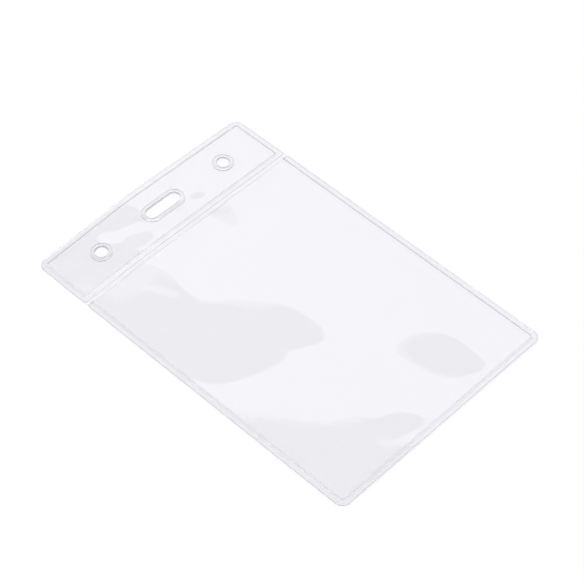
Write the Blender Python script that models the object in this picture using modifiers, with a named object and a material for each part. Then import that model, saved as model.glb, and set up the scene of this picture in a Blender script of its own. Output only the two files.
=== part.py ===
"""Clear soft-vinyl badge holder that hangs from a lanyard.

A back film runs the full height. A window film is welded over it along both sides and the bottom,
which leaves a card pocket that is open at its top lip. A short header film is welded over the top
strip all round, and a slot and two round holes are punched through this tab. Between the tab and the
lip only the back film is left, and it works as a living hinge.

The holder lies on its back film in the XY plane: +X across, +Y towards the tab, +Z out of the window.
The origin is under the middle of the whole holder. All lengths are in metres.
"""

import math

import bmesh
import bpy
from mathutils import Vector

# Driving dimensions
WIDTH = 0.096
LENGTH = 0.144
TAB_LENGTH = 0.0244
TAB_WIDTH = 0.0957
FILM = 0.0003
CLEARANCE = 0.0003
HINGE_STRIP = 0.0023
OUTER_RADIUS = 0.0032
NOTCH_RADIUS = 0.0009

# Welds: a flat frame with a groove pressed along its middle
SEAM_WIDTH = 0.0024
SEAM_HEIGHT = 0.0010
GROOVE_INSET = 0.0008
GROOVE_WIDTH = 0.0008
GROOVE_FLOOR = 0.0005
SEAM_EDGE_ROUND = 0.00012

# Punched openings of the tab, each inside a raised welded rim
SLOT_LENGTH = 0.0150
SLOT_HEIGHT = 0.0046
HOLE_DIAMETER = 0.0046
HOLE_OFFSET = 0.0292
RIM_WIDTH = 0.0016
RIM_HEIGHT = 0.0012
RIM_EDGE_ROUND = 0.0003
OPENING_BELOW_TOP = 0.0122

ARC_STEPS = 8
ROUND_STEPS = 40

# Levels that follow from the driving dimensions
TOP = LENGTH / 2
BOTTOM = -LENGTH / 2
TAB_BOTTOM = TOP - TAB_LENGTH
LIP = TAB_BOTTOM - HINGE_STRIP
CREASE = (TAB_BOTTOM + LIP) / 2
OPENING_Y = TOP - OPENING_BELOW_TOP
WINDOW_LOW = FILM + CLEARANCE
WINDOW_HIGH = WINDOW_LOW + FILM
POCKET_INNER_BOTTOM = BOTTOM + SEAM_WIDTH
FOLD_AXIS = Vector((0, CREASE, FILM / 2))
MOUTH_AXIS = Vector((0, POCKET_INNER_BOTTOM, (WINDOW_LOW + WINDOW_HIGH) / 2))


def clear_scene():
    for obj in list(bpy.data.objects):
        bpy.data.objects.remove(obj)


def new_collection(name):
    collection = bpy.data.collections.new(name)
    bpy.context.scene.collection.children.link(collection)
    return collection


def vinyl(name, colour, roughness, alpha):
    material = bpy.data.materials.new(name)
    material.use_nodes = True
    shader = material.node_tree.nodes["Principled BSDF"]
    shader.inputs["Base Color"].default_value = (*colour, 1)
    shader.inputs["Roughness"].default_value = roughness
    shader.inputs["Metallic"].default_value = 0
    shader.inputs["Alpha"].default_value = alpha
    return material


def rounded(corners):
    """A closed outline through (x, y, radius) corners: each corner becomes an arc of that radius."""
    points = []
    for index, (x, y, radius) in enumerate(corners):
        corner = Vector((x, y))
        back = (Vector(corners[index - 1][:2]) - corner).normalized()
        ahead = (Vector(corners[(index + 1) % len(corners)][:2]) - corner).normalized()
        if radius == 0:
            points.append(corner)
            continue
        half = back.angle(ahead) / 2
        centre = corner + (back + ahead).normalized() * radius / math.sin(half)
        start = corner + back * radius / math.tan(half) - centre
        end = corner + ahead * radius / math.tan(half) - centre
        sweep = start.angle_signed(end)
        for step in range(ARC_STEPS + 1):
            turned = start.copy()
            angle = -sweep * step / ARC_STEPS
            turned.x = start.x * math.cos(angle) - start.y * math.sin(angle)
            turned.y = start.x * math.sin(angle) + start.y * math.cos(angle)
            points.append(centre + turned)
    apart = 1e-6
    return [p for i, p in enumerate(points) if (p - points[i - 1]).length > apart]


def box_outline(half_width, low, high, low_radius=0.0, high_radius=0.0, centre_x=0.0):
    """A rectangle from low to high in Y, with its own corner radius at each end."""
    left = centre_x - half_width
    right = centre_x + half_width
    return rounded([
        (left, low, low_radius),
        (right, low, low_radius),
        (right, high, high_radius),
        (left, high, high_radius),
    ])


def stadium(length, height, centre_x, centre_y):
    """A slot's outline; with length equal to height it is a circle."""
    radius = height / 2
    low = centre_y - radius
    return box_outline(length / 2, low, low + height, radius, radius, centre_x)


def plate(name, outlines, low, high, material, parent=None):
    """A flat piece between two levels: the first outline is its edge, and the others are cut out of it."""
    curve = bpy.data.curves.new(name, "CURVE")
    curve.dimensions = "2D"
    curve.fill_mode = "BOTH"
    curve.extrude = (high - low) / 2
    for outline in outlines:
        spline = curve.splines.new("POLY")
        spline.points.add(len(outline) - 1)
        spline.use_cyclic_u = True
        for point, (x, y) in zip(spline.points, outline):
            point.co = (x, y, 0, 1)
    curve.materials.append(material)
    obj = bpy.data.objects.new(name, curve)
    holder.objects.link(obj)
    attach(obj, parent, Vector((0, 0, (low + high) / 2)))
    return obj


def attach(obj, parent, place):
    """Puts an object at a place in the holder's frame, carried by the empty on its joint's axis."""
    obj.parent = parent
    obj.location = place - parent.location if parent else place


def as_mesh(obj):
    """The same object with its curve made a closed mesh, ready for Booleans."""
    bpy.context.view_layer.update()
    mesh = bpy.data.meshes.new_from_object(obj.evaluated_get(bpy.context.evaluated_depsgraph_get()))
    welded = bmesh.new()
    welded.from_mesh(mesh)
    bmesh.ops.remove_doubles(welded, verts=welded.verts, dist=1e-6)
    welded.to_mesh(mesh)
    welded.free()
    name = obj.name
    parent = obj.parent
    place = obj.location.copy()
    world = obj.matrix_world.copy()
    bpy.data.objects.remove(obj)
    solid = bpy.data.objects.new(name, mesh)
    holder.objects.link(solid)
    solid.parent = parent
    solid.matrix_world = world
    solid.location = place
    return solid


def press_groove(solid, groove_outlines):
    """Presses the groove into a weld frame from above, then rounds the frame's edges a little."""
    cutter = as_mesh(plate(f"{solid.name}_groove", groove_outlines, GROOVE_FLOOR, 2 * SEAM_HEIGHT, weld_vinyl))
    holder.objects.unlink(cutter)
    cutters.objects.link(cutter)
    cutter.hide_render = True
    cutter.display_type = "WIRE"
    cut = solid.modifiers.new("groove", "BOOLEAN")
    cut.operation = "DIFFERENCE"
    cut.solver = "EXACT"
    cut.object = cutter
    round_edges(solid, SEAM_EDGE_ROUND, 1)


def round_edges(solid, width, segments):
    bevel = solid.modifiers.new("edge_round", "BEVEL")
    bevel.width = width
    bevel.segments = segments
    bevel.limit_method = "ANGLE"
    bevel.angle_limit = math.radians(50)


def u_outline(inset_out, inset_in, top):
    """A U along the pocket's sides and bottom, between two insets from the holder's outer edge."""
    out = WIDTH / 2 - inset_out
    inner = WIDTH / 2 - inset_in
    outer_radius = OUTER_RADIUS - inset_out
    return rounded([
        (-out, BOTTOM + inset_out, outer_radius),
        (out, BOTTOM + inset_out, outer_radius),
        (out, top, NOTCH_RADIUS if inset_out == 0 else 0),
        (inner, top, 0),
        (inner, BOTTOM + inset_in, 0),
        (-inner, BOTTOM + inset_in, 0),
        (-inner, top, 0),
        (-out, top, NOTCH_RADIUS if inset_out == 0 else 0),
    ])


def tab_outline(inset):
    """The tab's rectangle, inset from its outer edge; only the outer edge itself has round corners."""
    half = TAB_WIDTH / 2 - inset
    if inset >= SEAM_WIDTH:
        return box_outline(half, TAB_BOTTOM + inset, TOP - inset)
    return box_outline(half, TAB_BOTTOM + inset, TOP - inset, max(NOTCH_RADIUS - inset, 0.0002), OUTER_RADIUS - inset)


def openings(grow):
    """The slot and the two holes, each grown by the same amount all round."""
    outlines = [stadium(SLOT_LENGTH + 2 * grow, SLOT_HEIGHT + 2 * grow, 0, OPENING_Y)]
    for side in (-1, 1):
        size = HOLE_DIAMETER + 2 * grow
        outlines.append(stadium(size, size, side * HOLE_OFFSET, OPENING_Y))
    return outlines


def make_pocket():
    inner = WIDTH / 2 - SEAM_WIDTH - CLEARANCE
    bottom = POCKET_INNER_BOTTOM + CLEARANCE
    plate("pocket_back_film", [box_outline(inner, bottom, LIP)], 0, FILM, film_vinyl)
    plate("crease_strip", [box_outline(TAB_WIDTH / 2, LIP + CLEARANCE, TAB_BOTTOM - CLEARANCE)], 0, FILM, film_vinyl)
    seam = as_mesh(plate("pocket_weld_seam", [u_outline(0, SEAM_WIDTH, LIP)], 0, SEAM_HEIGHT, weld_vinyl))
    past_ends = LIP + SEAM_WIDTH
    press_groove(seam, [u_outline(GROOVE_INSET, GROOVE_INSET + GROOVE_WIDTH, past_ends)])
    plate("pocket_front_film", [box_outline(inner, bottom, LIP)], WINDOW_LOW, WINDOW_HIGH, window_vinyl, mouth_axis)


def make_tab():
    film_edge = tab_outline(SEAM_WIDTH + CLEARANCE)
    cut_outs = openings(RIM_WIDTH + CLEARANCE)
    plate("tab_back_film", [film_edge, *cut_outs], 0, FILM, film_vinyl, fold_axis)
    plate("tab_front_film", [film_edge, *cut_outs], WINDOW_LOW, WINDOW_HIGH, film_vinyl, fold_axis)
    ring = [tab_outline(0), tab_outline(SEAM_WIDTH)]
    seam = as_mesh(plate("tab_weld_seam", ring, 0, SEAM_HEIGHT, weld_vinyl, fold_axis))
    press_groove(seam, [tab_outline(GROOVE_INSET), tab_outline(GROOVE_INSET + GROOVE_WIDTH)])


def make_slot_rim():
    outer = stadium(SLOT_LENGTH + 2 * RIM_WIDTH, SLOT_HEIGHT + 2 * RIM_WIDTH, 0, OPENING_Y)
    inner = stadium(SLOT_LENGTH, SLOT_HEIGHT, 0, OPENING_Y)
    rim = as_mesh(plate("slot_rim", [outer, inner], 0, RIM_HEIGHT, rim_vinyl, fold_axis))
    round_edges(rim, RIM_EDGE_ROUND, 2)
    shade(rim.data)


def make_hole_rims():
    """Two turned rings that share one profile."""
    inner = HOLE_DIAMETER / 2
    outer = inner + RIM_WIDTH
    top_in = inner + RIM_EDGE_ROUND
    top_out = outer - RIM_EDGE_ROUND
    shoulder = RIM_HEIGHT - RIM_EDGE_ROUND
    profile = [
        (top_in, RIM_HEIGHT), (top_out, RIM_HEIGHT), (outer, shoulder),
        (outer, 0), (inner, 0), (inner, shoulder),
    ]
    mesh = bpy.data.meshes.new("hole_rim")
    outline = bmesh.new()
    verts = [outline.verts.new((x, 0, z)) for x, z in profile]
    for index, vert in enumerate(verts):
        outline.edges.new((vert, verts[(index + 1) % len(verts)]))
    outline.to_mesh(mesh)
    outline.free()
    mesh.materials.append(rim_vinyl)
    for name, side in (("left_hole_rim", -1), ("right_hole_rim", 1)):
        ring = bpy.data.objects.new(name, mesh)
        holder.objects.link(ring)
        attach(ring, fold_axis, Vector((side * HOLE_OFFSET, OPENING_Y, 0)))
        turn = ring.modifiers.new("turn", "SCREW")
        turn.axis = "Z"
        turn.steps = ROUND_STEPS
        turn.render_steps = ROUND_STEPS
        turn.use_merge_vertices = True
        turn.merge_threshold = 1e-6


def shade(mesh):
    mesh.shade_smooth()
    mesh.set_sharp_from_angle(angle=math.radians(35))


clear_scene()
holder = new_collection("badge_holder")
cutters = new_collection("cutters")

film_vinyl = vinyl("clear_vinyl_film", (0.93, 0.93, 0.97), 0.08, 0.30)
window_vinyl = vinyl("clear_vinyl_window", (0.94, 0.94, 0.98), 0.06, 0.25)
weld_vinyl = vinyl("welded_vinyl", (0.86, 0.86, 0.90), 0.15, 0.55)
rim_vinyl = vinyl("punched_rim_vinyl", (0.84, 0.84, 0.88), 0.15, 0.60)

fold_axis = bpy.data.objects.new("tab_fold_axis", None)
mouth_axis = bpy.data.objects.new("mouth_open_axis", None)
for empty, place in ((fold_axis, FOLD_AXIS), (mouth_axis, MOUTH_AXIS)):
    empty.location = place
    holder.objects.link(empty)

make_pocket()
make_tab()
make_slot_rim()
make_hole_rims()
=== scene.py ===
"""Looks of the clear vinyl badge holder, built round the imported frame.

Three soft films are modelled: one back film over the whole height, a window film over the pocket and a
header film over the tab. The welds, the hinge's pressed line and the punched rims are swept profiles
that stand on the back film. The whole holder lies slightly bowed, and each film has the shallow waves
that a limp sheet keeps, which is what gives its reflections their wandering edges. Lengths are in
metres, but the lists of dents and profiles are in mm.
"""

import math

import bmesh
import bpy
import numpy as np
from mathutils import Matrix, Vector
from mathutils.geometry import delaunay_2d_cdt


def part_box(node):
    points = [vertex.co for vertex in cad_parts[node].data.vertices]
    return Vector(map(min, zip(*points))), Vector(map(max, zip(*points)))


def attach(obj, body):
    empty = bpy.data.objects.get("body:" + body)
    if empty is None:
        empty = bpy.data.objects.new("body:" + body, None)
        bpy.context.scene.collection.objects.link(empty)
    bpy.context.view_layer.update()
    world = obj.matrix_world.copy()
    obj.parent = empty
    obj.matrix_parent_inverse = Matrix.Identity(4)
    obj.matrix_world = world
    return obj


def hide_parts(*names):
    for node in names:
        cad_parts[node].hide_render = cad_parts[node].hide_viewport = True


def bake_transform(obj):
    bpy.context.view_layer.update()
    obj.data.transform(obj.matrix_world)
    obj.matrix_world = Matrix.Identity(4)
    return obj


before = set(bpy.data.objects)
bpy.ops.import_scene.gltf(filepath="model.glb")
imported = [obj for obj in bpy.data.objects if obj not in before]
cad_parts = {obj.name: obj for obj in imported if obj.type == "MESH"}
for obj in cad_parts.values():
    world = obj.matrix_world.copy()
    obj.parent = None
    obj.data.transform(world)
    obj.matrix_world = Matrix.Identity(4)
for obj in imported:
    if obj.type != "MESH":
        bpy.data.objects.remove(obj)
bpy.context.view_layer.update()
MM = 0.001

# ---------------------------------------------------------------- places read from the frame
seam_low, seam_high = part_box("pocket_weld_seam")
tab_low, tab_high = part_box("tab_weld_seam")
_, window_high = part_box("pocket_front_film")
slot_low, slot_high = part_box("slot_rim")
hole_low, hole_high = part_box("right_hole_rim")

HALF_WIDTH = seam_high.x
TAB_HALF_WIDTH = tab_high.x
BOTTOM = seam_low.y
TOP = tab_high.y
TAB_BOTTOM = tab_low.y
LIP = window_high.y
CREASE = (TAB_BOTTOM + LIP) / 2
RIM_Y = (slot_low.y + slot_high.y) / 2
HOLE_X = (hole_low.x + hole_high.x) / 2
RIM_WIDTH = 1.6 * MM
SLOT_LENGTH = slot_high.x - slot_low.x - 2 * RIM_WIDTH
SLOT_HEIGHT = slot_high.y - slot_low.y - 2 * RIM_WIDTH
HOLE_SIZE = hole_high.x - hole_low.x - 2 * RIM_WIDTH

# ---------------------------------------------------------------- sizes of the films and welds
FILM = 0.30 * MM
SEAM_WIDTH = 2.4 * MM
CORNER = 3.2 * MM
NOTCH = 0.9 * MM
BACK_LEVEL = 0.17 * MM      # middle of the back film over the floor
FRONT_LEVEL = 0.58 * MM     # middle of a front film at its welded edge
FILM_GAP = 0.40 * MM        # least distance between the middles of the pocket's two films
CLEAR_EDGE = 0.06 * MM      # between a front film's cut edge and its weld or rim
GRID = 1.0 * MM             # spacing of the films' points
OUTLINE_STEP = 2 * MM       # longest run between points of an outline

# how far the holder bows up: the pocket at the crease, and the tab's top beyond that
POCKET_RISE = 0.9 * MM
TAB_CURL = 1.25 * MM
FLAT_BELOW = -40 * MM
RIDGE_ON_POCKET = -18 * MM
RIDGE_ON_TAB = -8 * MM
RIDGE_SHIFT = 10 * MM       # distance over which the ridge crosses from one to the other
RIDGE_SOFTNESS = 0.06
CURL_SOFTNESS = 0.03
DENT_SOFTNESS = 0.22


# ---------------------------------------------------------------- how the limp holder lies
def smooth_max(a, b, softness):
    """The greater of two values, rounded off where they are about the same."""
    return softness * np.logaddexp(a / softness, b / softness)


def settle(x, y):
    """The bow of the whole holder: a ridge left of the middle, from which it falls straight to both
    sides. It fades towards the pocket's bottom, and the tab curls up further from the crease."""
    past_crease = np.clip((y - CREASE) / RIDGE_SHIFT, 0, 1)
    ridge_x = RIDGE_ON_POCKET + (RIDGE_ON_TAB - RIDGE_ON_POCKET) * past_crease
    left = (x + HALF_WIDTH) / (ridge_x + HALF_WIDTH)
    right = (HALF_WIDTH - x) / (HALF_WIDTH - ridge_x)
    tent = np.maximum(-smooth_max(-left, -right, RIDGE_SOFTNESS), 0)
    rise = POCKET_RISE * np.clip((y - FLAT_BELOW) / (CREASE - FLAT_BELOW), 0, 1) ** 1.5
    curl = TAB_CURL * smooth_max((y - CREASE) / (TOP - CREASE), 0, CURL_SOFTNESS)
    return tent * (rise + curl)


TIP = (-0.7085, -0.7057)    # level direction in which the dents tip the film


def dent_tilt(x, y, dents):
    """Wanted tilt in degrees at points. A dent is x, y, radius x, radius y, turn and tilt, in mm and
    degrees. Where dents of the same sign overlap, the steeper one counts."""
    towards = np.zeros(np.broadcast(x, y).shape)
    away = np.zeros(np.broadcast(x, y).shape)
    for cx, cy, rx, ry, turn, tilt in dents:
        cos, sin = math.cos(math.radians(turn)), math.sin(math.radians(turn))
        dx = x / MM - cx
        dy = y / MM - cy
        across = (dx * cos + dy * sin) / rx
        along = (dy * cos - dx * sin) / ry
        depth = 1 + DENT_SOFTNESS - np.hypot(across, along)
        inside = np.clip(depth / (2 * DENT_SOFTNESS), 0, 1)
        weight = inside * inside * (3 - 2 * inside)
        towards = np.maximum(towards, weight * tilt)
        away = np.minimum(away, weight * tilt)
    return towards + away


class Wave:
    """A film held at its edges like a membrane, and dented so that it tips over where wanted.

    The height is the least-squares fit to the wanted slopes that stays on or above what lies under the
    film, found by projected descent with momentum. With a free top the last row of the grid isn't held."""

    def __init__(self, left, right, low, high, dents, under, free_top=False):
        self.xs = np.linspace(left, right, round((right - left) / GRID) + 1)
        self.ys = np.linspace(low, high, round((high - low) / GRID) + 1)
        last = None if free_top else -1
        held_x, held_y = self.xs[1:-1], self.ys[1:last]
        along_x = self.differences(len(held_x), self.xs[1] - self.xs[0])
        along_y = self.differences(len(held_y), self.ys[1] - self.ys[0])
        if free_top:
            along_y = along_y[:-1]
        mid_x = (self.xs[1:] + self.xs[:-1]) / 2
        mid_y = (self.ys[1:] + self.ys[:-1]) / 2
        slope_x = -TIP[0] * np.radians(dent_tilt(mid_x[:, None], held_y[None, :], dents))
        slope_y = -TIP[1] * np.radians(dent_tilt(held_x[:, None], mid_y[None, :], dents))
        load = along_x.T @ slope_x + slope_y @ along_y
        lowest = under(held_x[:, None], held_y[None, :])
        self.height = np.zeros((len(self.xs), len(self.ys)))
        self.height[1:-1, 1:last] = self.rest_on(lowest, load, along_x.T @ along_x, along_y.T @ along_y)

    @staticmethod
    def rest_on(lowest, load, stiff_x, stiff_y, rounds=600):
        """The heights where the membrane is at rest, on or above the lowest ones."""
        step = 1 / (np.linalg.norm(stiff_x, 2) + np.linalg.norm(stiff_y, 2))
        height = ahead = np.zeros(load.shape)
        momentum = 1.0
        for _ in range(rounds):
            after = np.maximum(ahead - step * (stiff_x @ ahead + ahead @ stiff_y - load), lowest)
            next_momentum = (1 + math.sqrt(1 + 4 * momentum ** 2)) / 2
            ahead = after + (momentum - 1) / next_momentum * (after - height)
            height, momentum = after, next_momentum
        return height

    @staticmethod
    def differences(count, step):
        """The matrix that turns heights into slopes, with both ends held at 0."""
        return (np.eye(count + 1, count) - np.eye(count + 1, count, -1)) / step

    def __call__(self, x, y):
        """Height at points, bilinear on the grid and 0 outside it."""
        i = np.clip((x - self.xs[0]) / (self.xs[1] - self.xs[0]), 0, len(self.xs) - 1.001)
        j = np.clip((y - self.ys[0]) / (self.ys[1] - self.ys[0]), 0, len(self.ys) - 1.001)
        i0, j0 = i.astype(int), j.astype(int)
        u, v = i - i0, j - j0
        h = self.height
        low = h[i0, j0] * (1 - u) + h[i0 + 1, j0] * u
        high = h[i0, j0 + 1] * (1 - u) + h[i0 + 1, j0 + 1] * u
        inside = (x >= self.xs[0]) & (x <= self.xs[-1]) & (y >= self.ys[0]) & (y <= self.ys[-1])
        return np.where(inside, low * (1 - v) + high * v, 0)


inner = HALF_WIDTH - SEAM_WIDTH
pocket_edges = (-inner, inner, BOTTOM + SEAM_WIDTH)
tab_edges = (-inner, inner, TAB_BOTTOM + SEAM_WIDTH, TOP - SEAM_WIDTH)
# x, y, radius x, radius y, turn and tilt, in mm and degrees
SHARED_DENTS = [
    (-24, 0, 24, 17, -8, 4), (-9, -7, 9, 11, 0, 4.5), (-8, 8, 8, 8, 0, 4.5), (-41, 17, 8, 8, 0, 5),
    (-12, -62, 8, 5, -20, 1.2),
]
POCKET_DENTS = SHARED_DENTS + [
    (-36, 37, 17.5, 21, 0, 5.5), (20, -55, 8.5, 12.5, 0, 6.5), (14, 47, 5, 6, 0, 12),
]
WINDOW_DENTS = SHARED_DENTS + [
    (-38, 37, 16, 21, 0, 5.5), (19, -54.5, 9.5, 13.5, 0, 6.5), (14, 41, 6, 11, 0, 7),
    (-31.5, 37, 2.2, 4.5, 0, -5), (-27, 32, 2.2, 6, 8, -5),
]
TAB_DENTS = [
    (-33, 60, 14, 12, 0, 4), (-41, 53, 6, 5, 0, 4), (-14, 66, 7, 4, 0, 3), (-14, 54, 6, 2.5, 0, 3),
    (-22, 61, 2.5, 3, 0, -10), (-15, 59.5, 7, 1.6, -12, -10), (12, 55, 3, 2, 0, 9),
]


def floor_under(x, y):
    """The floor, as a height for the waves to rest on."""
    return -settle(x, y)


pocket_wave = Wave(*pocket_edges, TAB_BOTTOM, POCKET_DENTS, floor_under)


def pocket_under(x, y):
    """The pocket's back film, as a height for the window's waves to rest on."""
    return pocket_wave(x, y) + BACK_LEVEL + FILM_GAP - FRONT_LEVEL


window_wave = Wave(*pocket_edges, LIP, WINDOW_DENTS, pocket_under, free_top=True)
tab_wave = Wave(*tab_edges, TAB_DENTS, floor_under)


def back_height(x, y):
    """Middle of the back film."""
    return BACK_LEVEL + settle(x, y) + pocket_wave(x, y) + tab_wave(x, y)


def window_height(x, y):
    """Middle of the window film."""
    return FRONT_LEVEL + settle(x, y) + window_wave(x, y)


def header_height(x, y):
    """Middle of the header film, which lies along the tab's back film."""
    return FRONT_LEVEL + settle(x, y) + tab_wave(x, y)


# ---------------------------------------------------------------- outlines
LEAST_RADIUS = 0.4 * MM     # of a weld's corner at its inner edge


def rectangle(half_width, low, high, low_radius, high_radius, steps):
    """A closed outline with round corners, anticlockwise from the lower left arc. Each arc is cut into
    steps, and the straight runs between them aren't divided."""
    arcs = [
        (-half_width + low_radius, low + low_radius, low_radius, math.pi),
        (half_width - low_radius, low + low_radius, low_radius, 1.5 * math.pi),
        (half_width - high_radius, high - high_radius, high_radius, 0),
        (-half_width + high_radius, high - high_radius, high_radius, 0.5 * math.pi),
    ]
    points = []
    for cx, cy, radius, start in arcs:
        angles = start + np.linspace(0, math.pi / 2, steps + 1)
        points += [(cx + radius * math.cos(a), cy + radius * math.sin(a)) for a in angles]
    return points


def tab_outline(inset):
    """Plan points of the tab's weld at one inset."""
    steps = 8
    points = rectangle(
        TAB_HALF_WIDTH - inset, TAB_BOTTOM + inset, TOP - inset,
        max(NOTCH - inset, 0.05 * MM), max(CORNER - inset, LEAST_RADIUS), steps,
    )
    return spread(points, steps + 1, (48, 12, 48, 12))


def spread(points, arc_points, parts):
    """Divides each straight run after an arc of arc_points points into a fixed number of parts."""
    out = []
    for side in range(4):
        arc = points[side * arc_points:(side + 1) * arc_points]
        after = points[(side + 1) * arc_points % len(points)]
        out += arc
        for part in range(1, parts[side]):
            t = part / parts[side]
            out.append((arc[-1][0] * (1 - t) + after[0] * t, arc[-1][1] * (1 - t) + after[1] * t))
    return out


def stadium(length, height, centre_x, centre_y, steps=14):
    """A slot's outline from two half circles; with length equal to height it is a circle."""
    radius = height / 2
    reach = length / 2 - radius
    points = []
    for side, start in ((1, -math.pi / 2), (-1, math.pi / 2)):
        for step in range(steps + 1):
            a = start + math.pi * step / steps
            points.append((centre_x + side * reach + radius * math.cos(a), centre_y + radius * math.sin(a)))
    if reach < 1e-7:        # the half circles of a circle share their ends
        points = points[:steps] + points[steps + 1:-1]
    return points


def holder_outline():
    """The back film's edge: the pocket and the tab, with a small notch between them at each side."""
    def arc(cx, cy, radius, start, end, steps=8):
        angles = np.radians(np.linspace(start, end, steps + 1))
        return [(cx + radius * math.cos(a), cy + radius * math.sin(a)) for a in angles]

    half, tab = HALF_WIDTH, TAB_HALF_WIDTH
    notch_depth = 0.65 * MM
    right = arc(half - CORNER, BOTTOM + CORNER, CORNER, -90, 0)
    right += arc(half - NOTCH, CREASE - NOTCH, NOTCH, 0, 70, 5)
    right += [(half - notch_depth, CREASE)]
    right += arc(tab - NOTCH, CREASE + NOTCH, NOTCH, -70, 0, 5)
    right += arc(tab - CORNER, TOP - CORNER, CORNER, 0, 90)
    left = [(-x, y) for x, y in reversed(right)]
    return divided(right + left)


def divided(points):
    """The same closed outline with its long runs cut into steps."""
    out = []
    for index, (x, y) in enumerate(points):
        nx, ny = points[(index + 1) % len(points)]
        parts = max(1, math.ceil(math.hypot(nx - x, ny - y) / OUTLINE_STEP))
        out += [(x + (nx - x) * k / parts, y + (ny - y) * k / parts) for k in range(parts)]
    return out


def within(points, outline):
    """Which points lie inside a closed outline, by counting the edges crossed on the way out."""
    x, y = points[:, 0], points[:, 1]
    inside = np.zeros(len(points), bool)
    for (ax, ay), (bx, by) in zip(outline, outline[1:] + outline[:1]):
        if ay != by:
            crossing = (ay > y) != (by > y)
            inside ^= crossing & (x < (bx - ax) * (y - ay) / (by - ay) + ax)
    return inside


def clear_of(points, outline, distance):
    """Which points keep a distance from every edge of an outline."""
    clear = np.ones(len(points), bool)
    for a, b in zip(outline, outline[1:] + outline[:1]):
        a, run = np.array(a), np.array(b) - np.array(a)
        t = np.clip((points - a) @ run / max(run @ run, 1e-18), 0, 1)
        clear &= np.linalg.norm(points - a - t[:, None] * run, axis=1) > distance
    return clear


# ---------------------------------------------------------------- meshes
def new_object(name, mesh, material):
    """A smooth-shaded object in the scene, with one material."""
    mesh.materials.append(material)
    mesh.shade_smooth()
    obj = bpy.data.objects.new(name, mesh)
    bpy.context.scene.collection.objects.link(obj)
    return obj


def film(name, outline, holes, height, material):
    """A sheet of even thickness cut to an outline with holes, its middle lifted to a height function."""
    first = np.floor(np.min(outline, axis=0) / GRID)
    last = np.ceil(np.max(outline, axis=0) / GRID)
    xs, ys = (np.arange(a, b + 1) * GRID for a, b in zip(first, last))
    inside = np.array([(x, y) for x in xs for y in ys])
    inside = inside[within(inside, outline)]
    for hole in holes:
        inside = inside[~within(inside, hole)]
    for loop in [outline, *holes]:
        inside = inside[clear_of(inside, loop, GRID * 0.45)]
    points, edges = [], []
    for loop in [outline, *holes]:
        start = len(points)
        points += loop
        edges += [(start + k, start + (k + 1) % len(loop)) for k in range(len(loop))]
    points += [tuple(p) for p in inside]
    in_mm = [Vector((x / MM, y / MM)) for x, y in points]
    flat, _, faces, *_ = delaunay_2d_cdt(in_mm, edges, [], 0, 1e-5)
    flat = np.array([tuple(v) for v in flat]) * MM
    faces = np.array(faces)
    centres = flat[faces].mean(axis=1)
    keep = within(centres, outline)
    for hole in holes:
        keep &= ~within(centres, hole)
    faces = faces[keep]
    a, b, c = (flat[faces[:, k]] for k in range(3))
    area = (b[:, 0] - a[:, 0]) * (c[:, 1] - a[:, 1]) - (b[:, 1] - a[:, 1]) * (c[:, 0] - a[:, 0])
    faces[area < 0] = faces[area < 0][:, ::-1]
    z = height(flat[:, 0], flat[:, 1])
    sheet = bpy.data.meshes.new(name)
    sheet.from_pydata(np.column_stack([flat, z]).tolist(), [], faces.tolist())
    obj = new_object(name, sheet, material)
    sheet.materials.append(cut_edge)    # the thickness takes this one round the edges
    thick = obj.modifiers.new("thickness", "SOLIDIFY")
    thick.thickness = FILM
    thick.offset = 0
    thick.material_offset_rim = 1
    apply_modifiers(obj)
    obj.data.set_sharp_from_angle(angle=math.radians(50))
    return obj


def apply_modifiers(obj):
    """Replaces an object's mesh with the one that its modifiers make."""
    bpy.context.view_layer.update()
    graph = bpy.context.evaluated_depsgraph_get()
    mesh = bpy.data.meshes.new_from_object(obj.evaluated_get(graph))
    obj.modifiers.clear()
    obj.data = mesh


def loft(name, rows, material, closed, ground):
    """A solid from rows of matching plan points at profile heights: row k is (points, height).

    The rows run once round the profile. A closed loft is a ring, and an open one has its ends capped.
    ground gives the height that the whole profile stands on. The slope attribute keeps how far each
    corner's normal leans as the piece lies at rest: 0 level, 1 upright."""
    mesh = bpy.data.meshes.new(name)
    solid = bmesh.new()
    grid = []
    for points, level in rows:
        xy = np.array(points)
        z = ground(xy[:, 0], xy[:, 1]) + level
        grid.append([solid.verts.new((x, y, h)) for (x, y), h in zip(xy, z)])
    count = len(grid[0])
    for k, row in enumerate(grid):
        after = grid[(k + 1) % len(grid)]
        for i in range(count if closed else count - 1):
            j = (i + 1) % count
            solid.faces.new((row[i], row[j], after[j], after[i]))
    if not closed:
        solid.faces.new([row[0] for row in grid])
        solid.faces.new([row[-1] for row in reversed(grid)])
    bmesh.ops.recalc_face_normals(solid, faces=solid.faces)
    solid.to_mesh(mesh)
    solid.free()
    obj = new_object(name, mesh, material)
    mesh.set_sharp_from_angle(angle=math.radians(60))
    slope = 1 - np.abs([corner.vector.z for corner in mesh.corner_normals])
    mesh.attributes.new("slope", "FLOAT", "CORNER").data.foreach_set("value", slope.astype(np.float32))
    return obj


# Inset and height of the weld's top, in mm: outer bead, pressed flat, inner bead
WELD_PROFILE = [
    (0.00, 0.36), (0.06, 0.46), (0.16, 0.53), (0.30, 0.57), (0.42, 0.54), (0.54, 0.50), (0.80, 0.50),
    (1.10, 0.51), (1.40, 0.52), (1.50, 0.57), (1.60, 0.63), (1.72, 0.62), (1.84, 0.58), (1.96, 0.66),
    (2.10, 0.78), (2.24, 0.76), (2.34, 0.60), (2.40, 0.40), (2.40, 0.33), (1.60, 0.33), (0.80, 0.33),
    (0.02, 0.33),
]
# Distance from the crease and height of the hinge's pressed line, in mm
HINGE_PROFILE = [
    (-0.60, 0.37), (-0.54, 0.44), (-0.40, 0.53), (-0.20, 0.50), (0.00, 0.44), (0.20, 0.50), (0.40, 0.53),
    (0.54, 0.44), (0.60, 0.37),
]
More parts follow.
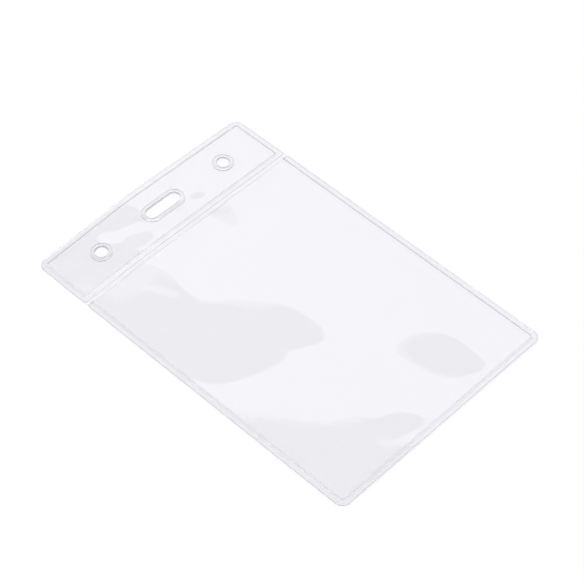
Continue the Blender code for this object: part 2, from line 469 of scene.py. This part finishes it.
# Distance out from the opening's edge and height, in mm
RIM_PROFILE = [
    (0.00, 0.45), (0.03, 0.75), (0.14, 0.96), (0.34, 1.08), (0.62, 1.10), (0.88, 1.02), (1.10, 0.86),
    (1.28, 0.76), (1.50, 0.74), (1.60, 0.66), (1.60, 0.33), (0.80, 0.33), (0.00, 0.33),
]


def u_outline(inset):
    """Plan points of the pocket's weld at one inset: down the left side, along the bottom and up."""
    radius = max(CORNER - inset, LEAST_RADIUS)
    half = HALF_WIDTH - inset
    low = BOTTOM + inset
    end = CREASE - 0.12 * MM
    turn = end - NOTCH      # where the outer edge starts to turn in towards the notch
    levels = list(np.linspace(low + radius, turn, 58)[1:])
    levels += [turn + NOTCH * math.sin(a) for a in np.linspace(0, math.pi / 2, 7)[1:]]
    side = []
    for y in levels:
        past = max(0, y - turn) / NOTCH
        pull = 0.8 * NOTCH * (1 - math.sqrt(max(0, 1 - past * past))) * (1 - inset / SEAM_WIDTH)
        side.append((half - pull, y))
    angles = np.linspace(-math.pi / 2, 0, 9)
    corner = [(half - radius + radius * math.cos(a), low + radius + radius * math.sin(a)) for a in angles]
    run = [(x, low) for x in np.linspace(0, half - radius, 24)[:-1]]
    right = run + corner + side
    left = [(-x, y) for x, y in reversed(right)]
    return left[:-1] + right


# ---------------------------------------------------------------- materials
def new_material(name):
    """A material with its node tree and its Principled shader."""
    material = bpy.data.materials.new(name)
    material.use_nodes = True
    return material, material.node_tree, material.node_tree.nodes["Principled BSDF"]


def maths(nodes, operation, *values):
    """A Math node with its inputs set in order; None leaves one to be linked."""
    node = nodes.new("ShaderNodeMath")
    node.operation = operation
    for socket, value in zip(node.inputs, values):
        if value is not None:
            socket.default_value = value
    return node


MIRROR = 0.04           # share of light that vinyl mirrors when seen square on
TINT_ON_LIGHT = 0.15    # share of the steep tint that lighting through the vinyl takes on


def clear_vinyl(name, tint, steep_painted_shade, roughness, fine, dust):
    """Clear vinyl: lets light straight through with a faint tint, and mirrors more at a slant.

    Where a weld's profile is steep the tint goes over to the darker steep tint, which is painted shade for
    the dark lines that light bent by the thick vinyl makes there.
    Light that falls through the vinyl on other things isn't mirrored and takes on less of that tint."""
    material, tree, shader = new_material(name)
    nodes, links = tree.nodes, tree.links
    shader.inputs["Base Color"].default_value = (1, 1, 1, 1)
    shader.inputs["Metallic"].default_value = 1
    shader.inputs["Roughness"].default_value = roughness
    normal, speck = surface_detail(nodes, links, fine, dust)
    links.new(normal, shader.inputs["Normal"])

    slant = nodes.new("ShaderNodeLayerWeight")
    slant.inputs["Blend"].default_value = 0.5
    power = maths(nodes, "POWER", None, 5)
    schlick = maths(nodes, "MULTIPLY_ADD", None, 1 - MIRROR, MIRROR)
    dusty = maths(nodes, "MAXIMUM")
    links.new(normal, slant.inputs["Normal"])
    links.new(slant.outputs["Facing"], power.inputs[0])
    links.new(power.outputs[0], schlick.inputs[0])
    links.new(schlick.outputs[0], dusty.inputs[0])
    links.new(speck, dusty.inputs[1])

    path = nodes.new("ShaderNodeLightPath")
    lighting = maths(nodes, "MAXIMUM")
    seen = maths(nodes, "SUBTRACT", 1)
    mirrored = maths(nodes, "MULTIPLY")
    links.new(path.outputs["Is Shadow Ray"], lighting.inputs[0])
    links.new(path.outputs["Is Diffuse Ray"], lighting.inputs[1])
    links.new(lighting.outputs[0], seen.inputs[1])
    links.new(dusty.outputs[0], mirrored.inputs[0])
    links.new(seen.outputs[0], mirrored.inputs[1])

    profile = nodes.new("ShaderNodeAttribute")
    profile.attribute_name = "slope"
    steep = nodes.new("ShaderNodeMapRange")
    steep.inputs["From Min"].default_value = 0.01
    steep.inputs["From Max"].default_value = 0.50
    shading = maths(nodes, "MULTIPLY_ADD", None, 1 - TINT_ON_LIGHT, TINT_ON_LIGHT)
    steepness = maths(nodes, "MULTIPLY")
    colour = nodes.new("ShaderNodeMix")
    colour.data_type = "RGBA"
    colour.inputs["A"].default_value = (*tint, 1)
    # the steep colour is painted shade for the dark lines at the steep sides of welds and rims
    colour.inputs["B"].default_value = (*steep_painted_shade, 1)
    clear = nodes.new("ShaderNodeBsdfTransparent")
    links.new(profile.outputs["Fac"], steep.inputs["Value"])
    links.new(seen.outputs[0], shading.inputs[0])
    links.new(steep.outputs["Result"], steepness.inputs[0])
    links.new(shading.outputs[0], steepness.inputs[1])
    links.new(steepness.outputs[0], colour.inputs["Factor"])
    links.new(colour.outputs["Result"], clear.inputs["Color"])

    mix = nodes.new("ShaderNodeMixShader")
    links.new(mirrored.outputs[0], mix.inputs[0])
    links.new(clear.outputs[0], mix.inputs[1])
    links.new(shader.outputs[0], mix.inputs[2])
    links.new(mix.outputs[0], nodes["Material Output"].inputs["Surface"])
    return material


def cut_vinyl(name):
    """The cut edge of a film, painted faintly grey: painted shade for the dark line that light bent at a
    clear film's edge makes.
    """
    material, _, shader = new_material(name)
    shader.inputs["Base Color"].default_value = (0.62, 0.62, 0.65, 1)
    shader.inputs["Roughness"].default_value = 0.35
    shader.inputs["Alpha"].default_value = 0.35
    return material


def surface_detail(nodes, links, fine, dust):
    """Normal and dust of limp vinyl: a faint orange peel, with a few specks where dust has settled.

    fine is the height of the orange peel in metres, and dust is how much a speck hides."""
    place = nodes.new("ShaderNodeTexCoord")
    peel = nodes.new("ShaderNodeTexNoise")
    peel.inputs["Scale"].default_value = 330
    peel.inputs["Detail"].default_value = 3
    bump = nodes.new("ShaderNodeBump")
    bump.inputs["Distance"].default_value = fine
    links.new(place.outputs["Object"], peel.inputs["Vector"])
    links.new(peel.outputs["Fac"], bump.inputs["Height"])
    grains = nodes.new("ShaderNodeTexVoronoi")
    grains.inputs["Scale"].default_value = 160
    near = nodes.new("ShaderNodeMapRange")
    near.inputs["From Min"].default_value = 0.05
    near.inputs["From Max"].default_value = 0.02
    near.inputs["To Max"].default_value = dust
    sparse = nodes.new("ShaderNodeSeparateColor")
    chosen = maths(nodes, "GREATER_THAN", None, 0.8)
    speck = maths(nodes, "MULTIPLY")
    links.new(place.outputs["Object"], grains.inputs["Vector"])
    links.new(grains.outputs["Distance"], near.inputs["Value"])
    links.new(grains.outputs["Color"], sparse.inputs["Color"])
    links.new(sparse.outputs["Red"], chosen.inputs[0])
    links.new(near.outputs["Result"], speck.inputs[0])
    links.new(chosen.outputs[0], speck.inputs[1])
    return bump.outputs["Normal"], speck.outputs[0]


def floor_material():
    """The studio's matt pale floor."""
    material, _, shader = new_material("studio_floor")
    shader.inputs["Base Color"].default_value = (0.8, 0.8, 0.8, 1)
    shader.inputs["Roughness"].default_value = 1
    shader.inputs["Specular IOR Level"].default_value = 0
    return material


cut_edge = cut_vinyl("cut_edge")
FILM_TINT = (0.9924, 0.9913, 0.9969)
film_vinyl = clear_vinyl("back_vinyl", FILM_TINT, FILM_TINT, 0.03, 0.000005, 0.35)
window_vinyl = clear_vinyl("window_vinyl", FILM_TINT, FILM_TINT, 0.02, 0.000005, 0.35)
# the second tint of the welds and rims is painted shade, darkening their steep sides
weld_vinyl = clear_vinyl("weld_vinyl", (0.992, 0.990, 0.997), (0.66, 0.66, 0.68), 0.05, 0.000008, 0.2)
rim_vinyl = clear_vinyl("rim_vinyl", (0.99, 0.988, 0.996), (0.60, 0.60, 0.62), 0.05, 0.000008, 0.2)

# ---------------------------------------------------------------- the holder
# piece, node it stands for, length and height of the opening, and its middle
PUNCHED = [
    ("slot_edge", "slot_rim", SLOT_LENGTH, SLOT_HEIGHT, 0),
    ("left_hole_edge", "left_hole_rim", HOLE_SIZE, HOLE_SIZE, -HOLE_X),
    ("right_hole_edge", "right_hole_rim", HOLE_SIZE, HOLE_SIZE, HOLE_X),
]


def punched(margin):
    """The outlines of the openings, grown all round by a margin."""
    grow = 2 * margin
    return [stadium(length + grow, height + grow, x, RIM_Y) for _, _, length, height, x in PUNCHED]


front_inset = SEAM_WIDTH + CLEAR_EDGE
window_half = HALF_WIDTH - front_inset
header_half = TAB_HALF_WIDTH - front_inset
window_edge = divided(rectangle(window_half, BOTTOM + front_inset, LIP, 0.4 * MM, 0.4 * MM, 3))
header_edge = divided(rectangle(
    header_half, TAB_BOTTOM + front_inset, TOP - front_inset, 0.3 * MM, 0.5 * MM, 3))

back = film("back_film", holder_outline(), punched(0), back_height, film_vinyl)
window = film("window_film", window_edge, [], window_height, window_vinyl)
header = film("header_film", header_edge, punched(RIM_WIDTH + CLEAR_EDGE), header_height, film_vinyl)


def on_tab(x, y):
    """What the punched rims stand on: the tab's back film."""
    return settle(x, y) + tab_wave(x, y)


pocket_weld = loft(
    "pocket_weld", [(u_outline(d * MM), z * MM) for d, z in WELD_PROFILE], weld_vinyl, False, settle)
tab_weld = loft(
    "tab_weld", [(tab_outline(d * MM), z * MM) for d, z in WELD_PROFILE], weld_vinyl, True, settle)


def on_back(x, y):
    """What the hinge's pressed line stands on."""
    return back_height(x, y) - BACK_LEVEL


hinge_x = np.linspace(-TAB_HALF_WIDTH + 1.2 * MM, TAB_HALF_WIDTH - 1.2 * MM, 64)
hinge_line = loft(
    "hinge_line", [([(x, CREASE + d * MM) for x in hinge_x], z * MM) for d, z in HINGE_PROFILE],
    weld_vinyl, False, on_back)


rims = []
for name, _, length, height, x in PUNCHED:
    rows = []
    for out, z in RIM_PROFILE:
        grow = 2 * out * MM
        rows.append((stadium(length + grow, height + grow, x, RIM_Y), z * MM))
    rims.append(loft(name, rows, rim_vinyl, True, on_tab))

# ---------------------------------------------------------------- how it moves
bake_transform(back)
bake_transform(pocket_weld)
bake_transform(tab_weld)
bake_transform(hinge_line)
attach(header, "tab")
for piece in rims:
    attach(piece, "tab")
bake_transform(window)


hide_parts("pocket_back_film", "crease_strip", "tab_back_film")
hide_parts("pocket_front_film")
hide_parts("tab_front_film")
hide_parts("pocket_weld_seam")
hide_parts("tab_weld_seam")
for piece, (_, node, *_) in zip(rims, PUNCHED):
    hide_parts(node)

# ---------------------------------------------------------------- studio
FLOOR_SIZE = 12.0
FLOOR_LEVEL = -0.05 * MM
bpy.ops.mesh.primitive_plane_add(size=FLOOR_SIZE, location=(0, 0, FLOOR_LEVEL))
floor = bpy.context.object
floor.name = "studio_floor"
floor.data.materials.append(floor_material())

world = bpy.data.worlds.new("studio")
bpy.context.scene.world = world
world.use_nodes = True
sky_nodes = world.node_tree.nodes
sky_links = world.node_tree.links
sky_nodes["Background"].inputs["Color"].default_value = (1, 1, 1, 1)
SKY = 1.135                 # brightness of the room on the floor and the holder
sky_path = sky_nodes.new("ShaderNodeLightPath")
strength = None
# the brightness that is seen direct, in reflections and through thick clear things
for flag, seen in (("Is Camera Ray", 1.1), ("Is Glossy Ray", 0.15), ("Is Transmission Ray", 0.82)):
    part = maths(sky_nodes, "MULTIPLY_ADD", None, seen - SKY, SKY)
    sky_links.new(sky_path.outputs[flag], part.inputs[0])
    if strength:
        sky_links.new(strength.outputs[0], part.inputs[2])
    strength = part
sky_links.new(strength.outputs[0], sky_nodes["Background"].inputs["Strength"])

AIM = Vector((4.26, 1.32, 0)) * MM
VIEW_AZIMUTH = math.radians(-45.106)
VIEW_ELEVATION = math.radians(50.385)
VIEW_DISTANCE = 0.76925
VIEW_ROLL = math.radians(-0.681)


def outward(azimuth, elevation):
    """Unit vector from the holder: azimuth 0 is towards -Y, and 90 degrees is towards +X."""
    return Vector((
        math.sin(azimuth) * math.cos(elevation),
        -math.cos(azimuth) * math.cos(elevation),
        math.sin(elevation),
    ))


# the angle and distance from which the whole holder is seen
camera_data = bpy.data.cameras.new("camera")
camera_data.lens = 140.4
camera_data.clip_start = 0.01
camera_data.clip_end = 60
camera = bpy.data.objects.new("camera", camera_data)
bpy.context.scene.collection.objects.link(camera)
back_to_camera = outward(VIEW_AZIMUTH, VIEW_ELEVATION)
camera.location = AIM + back_to_camera * VIEW_DISTANCE
level = (-back_to_camera).to_track_quat("-Z", "Y").to_matrix()
roll = level @ Matrix.Rotation(VIEW_ROLL, 3, "Z")
camera.rotation_euler = roll.to_euler()
bpy.context.scene.camera = camera


def softbox(name, azimuth, top, bottom, half_turn, distance, radiance):
    """A flat light panel that spans two elevations and a turn either side of an azimuth, all in degrees."""
    middle = math.radians((top + bottom) / 2)
    height = 2 * distance * math.tan(math.radians((top - bottom) / 2))
    width = 2 * distance * math.tan(math.radians(half_turn))
    data = bpy.data.lights.new(name, "AREA")
    data.shape = "RECTANGLE"
    data.size = width
    data.size_y = height
    data.energy = radiance * math.pi * width * height
    lamp = bpy.data.objects.new(name, data)
    bpy.context.scene.collection.objects.link(lamp)
    direction = outward(math.radians(azimuth), middle)
    lamp.location = direction * distance
    lamp.rotation_euler = direction.to_track_quat("Z", "Y").to_euler()
    lamp.visible_camera = False
    return lamp


PANEL_DISTANCE = 3.0
softbox("key_panel", 122.0, 55.1, 12, 36, PANEL_DISTANCE, 0.537)
# azimuth, top, bottom, half turn and radiance of panels that only reflections show
for name, azimuth, top, bottom, half_turn, radiance in (
    ("top_panel", 135, 88, 74, 25, 5.0),
    ("near_panel", -45, 40, 0, 45.5, 0.8),
    ("right_panel", 45, 40, 0, 45.5, 0.8),
    ("left_panel", -135, 42, 0, 45.5, 0.8),
    ("far_panel", 135, 12, 0, 45.5, 0.8),
):
    softbox(name, azimuth, top, bottom, half_turn, PANEL_DISTANCE, radiance).visible_diffuse = False
# a lamp behind the holder that no reflection shows
softbox("fill_panel", 195, 62, 28, 17, 0.9, 1.0).visible_glossy = False

bpy.context.scene.view_settings.view_transform = "Standard"
bpy.context.scene.cycles.transparent_max_bounces = 32
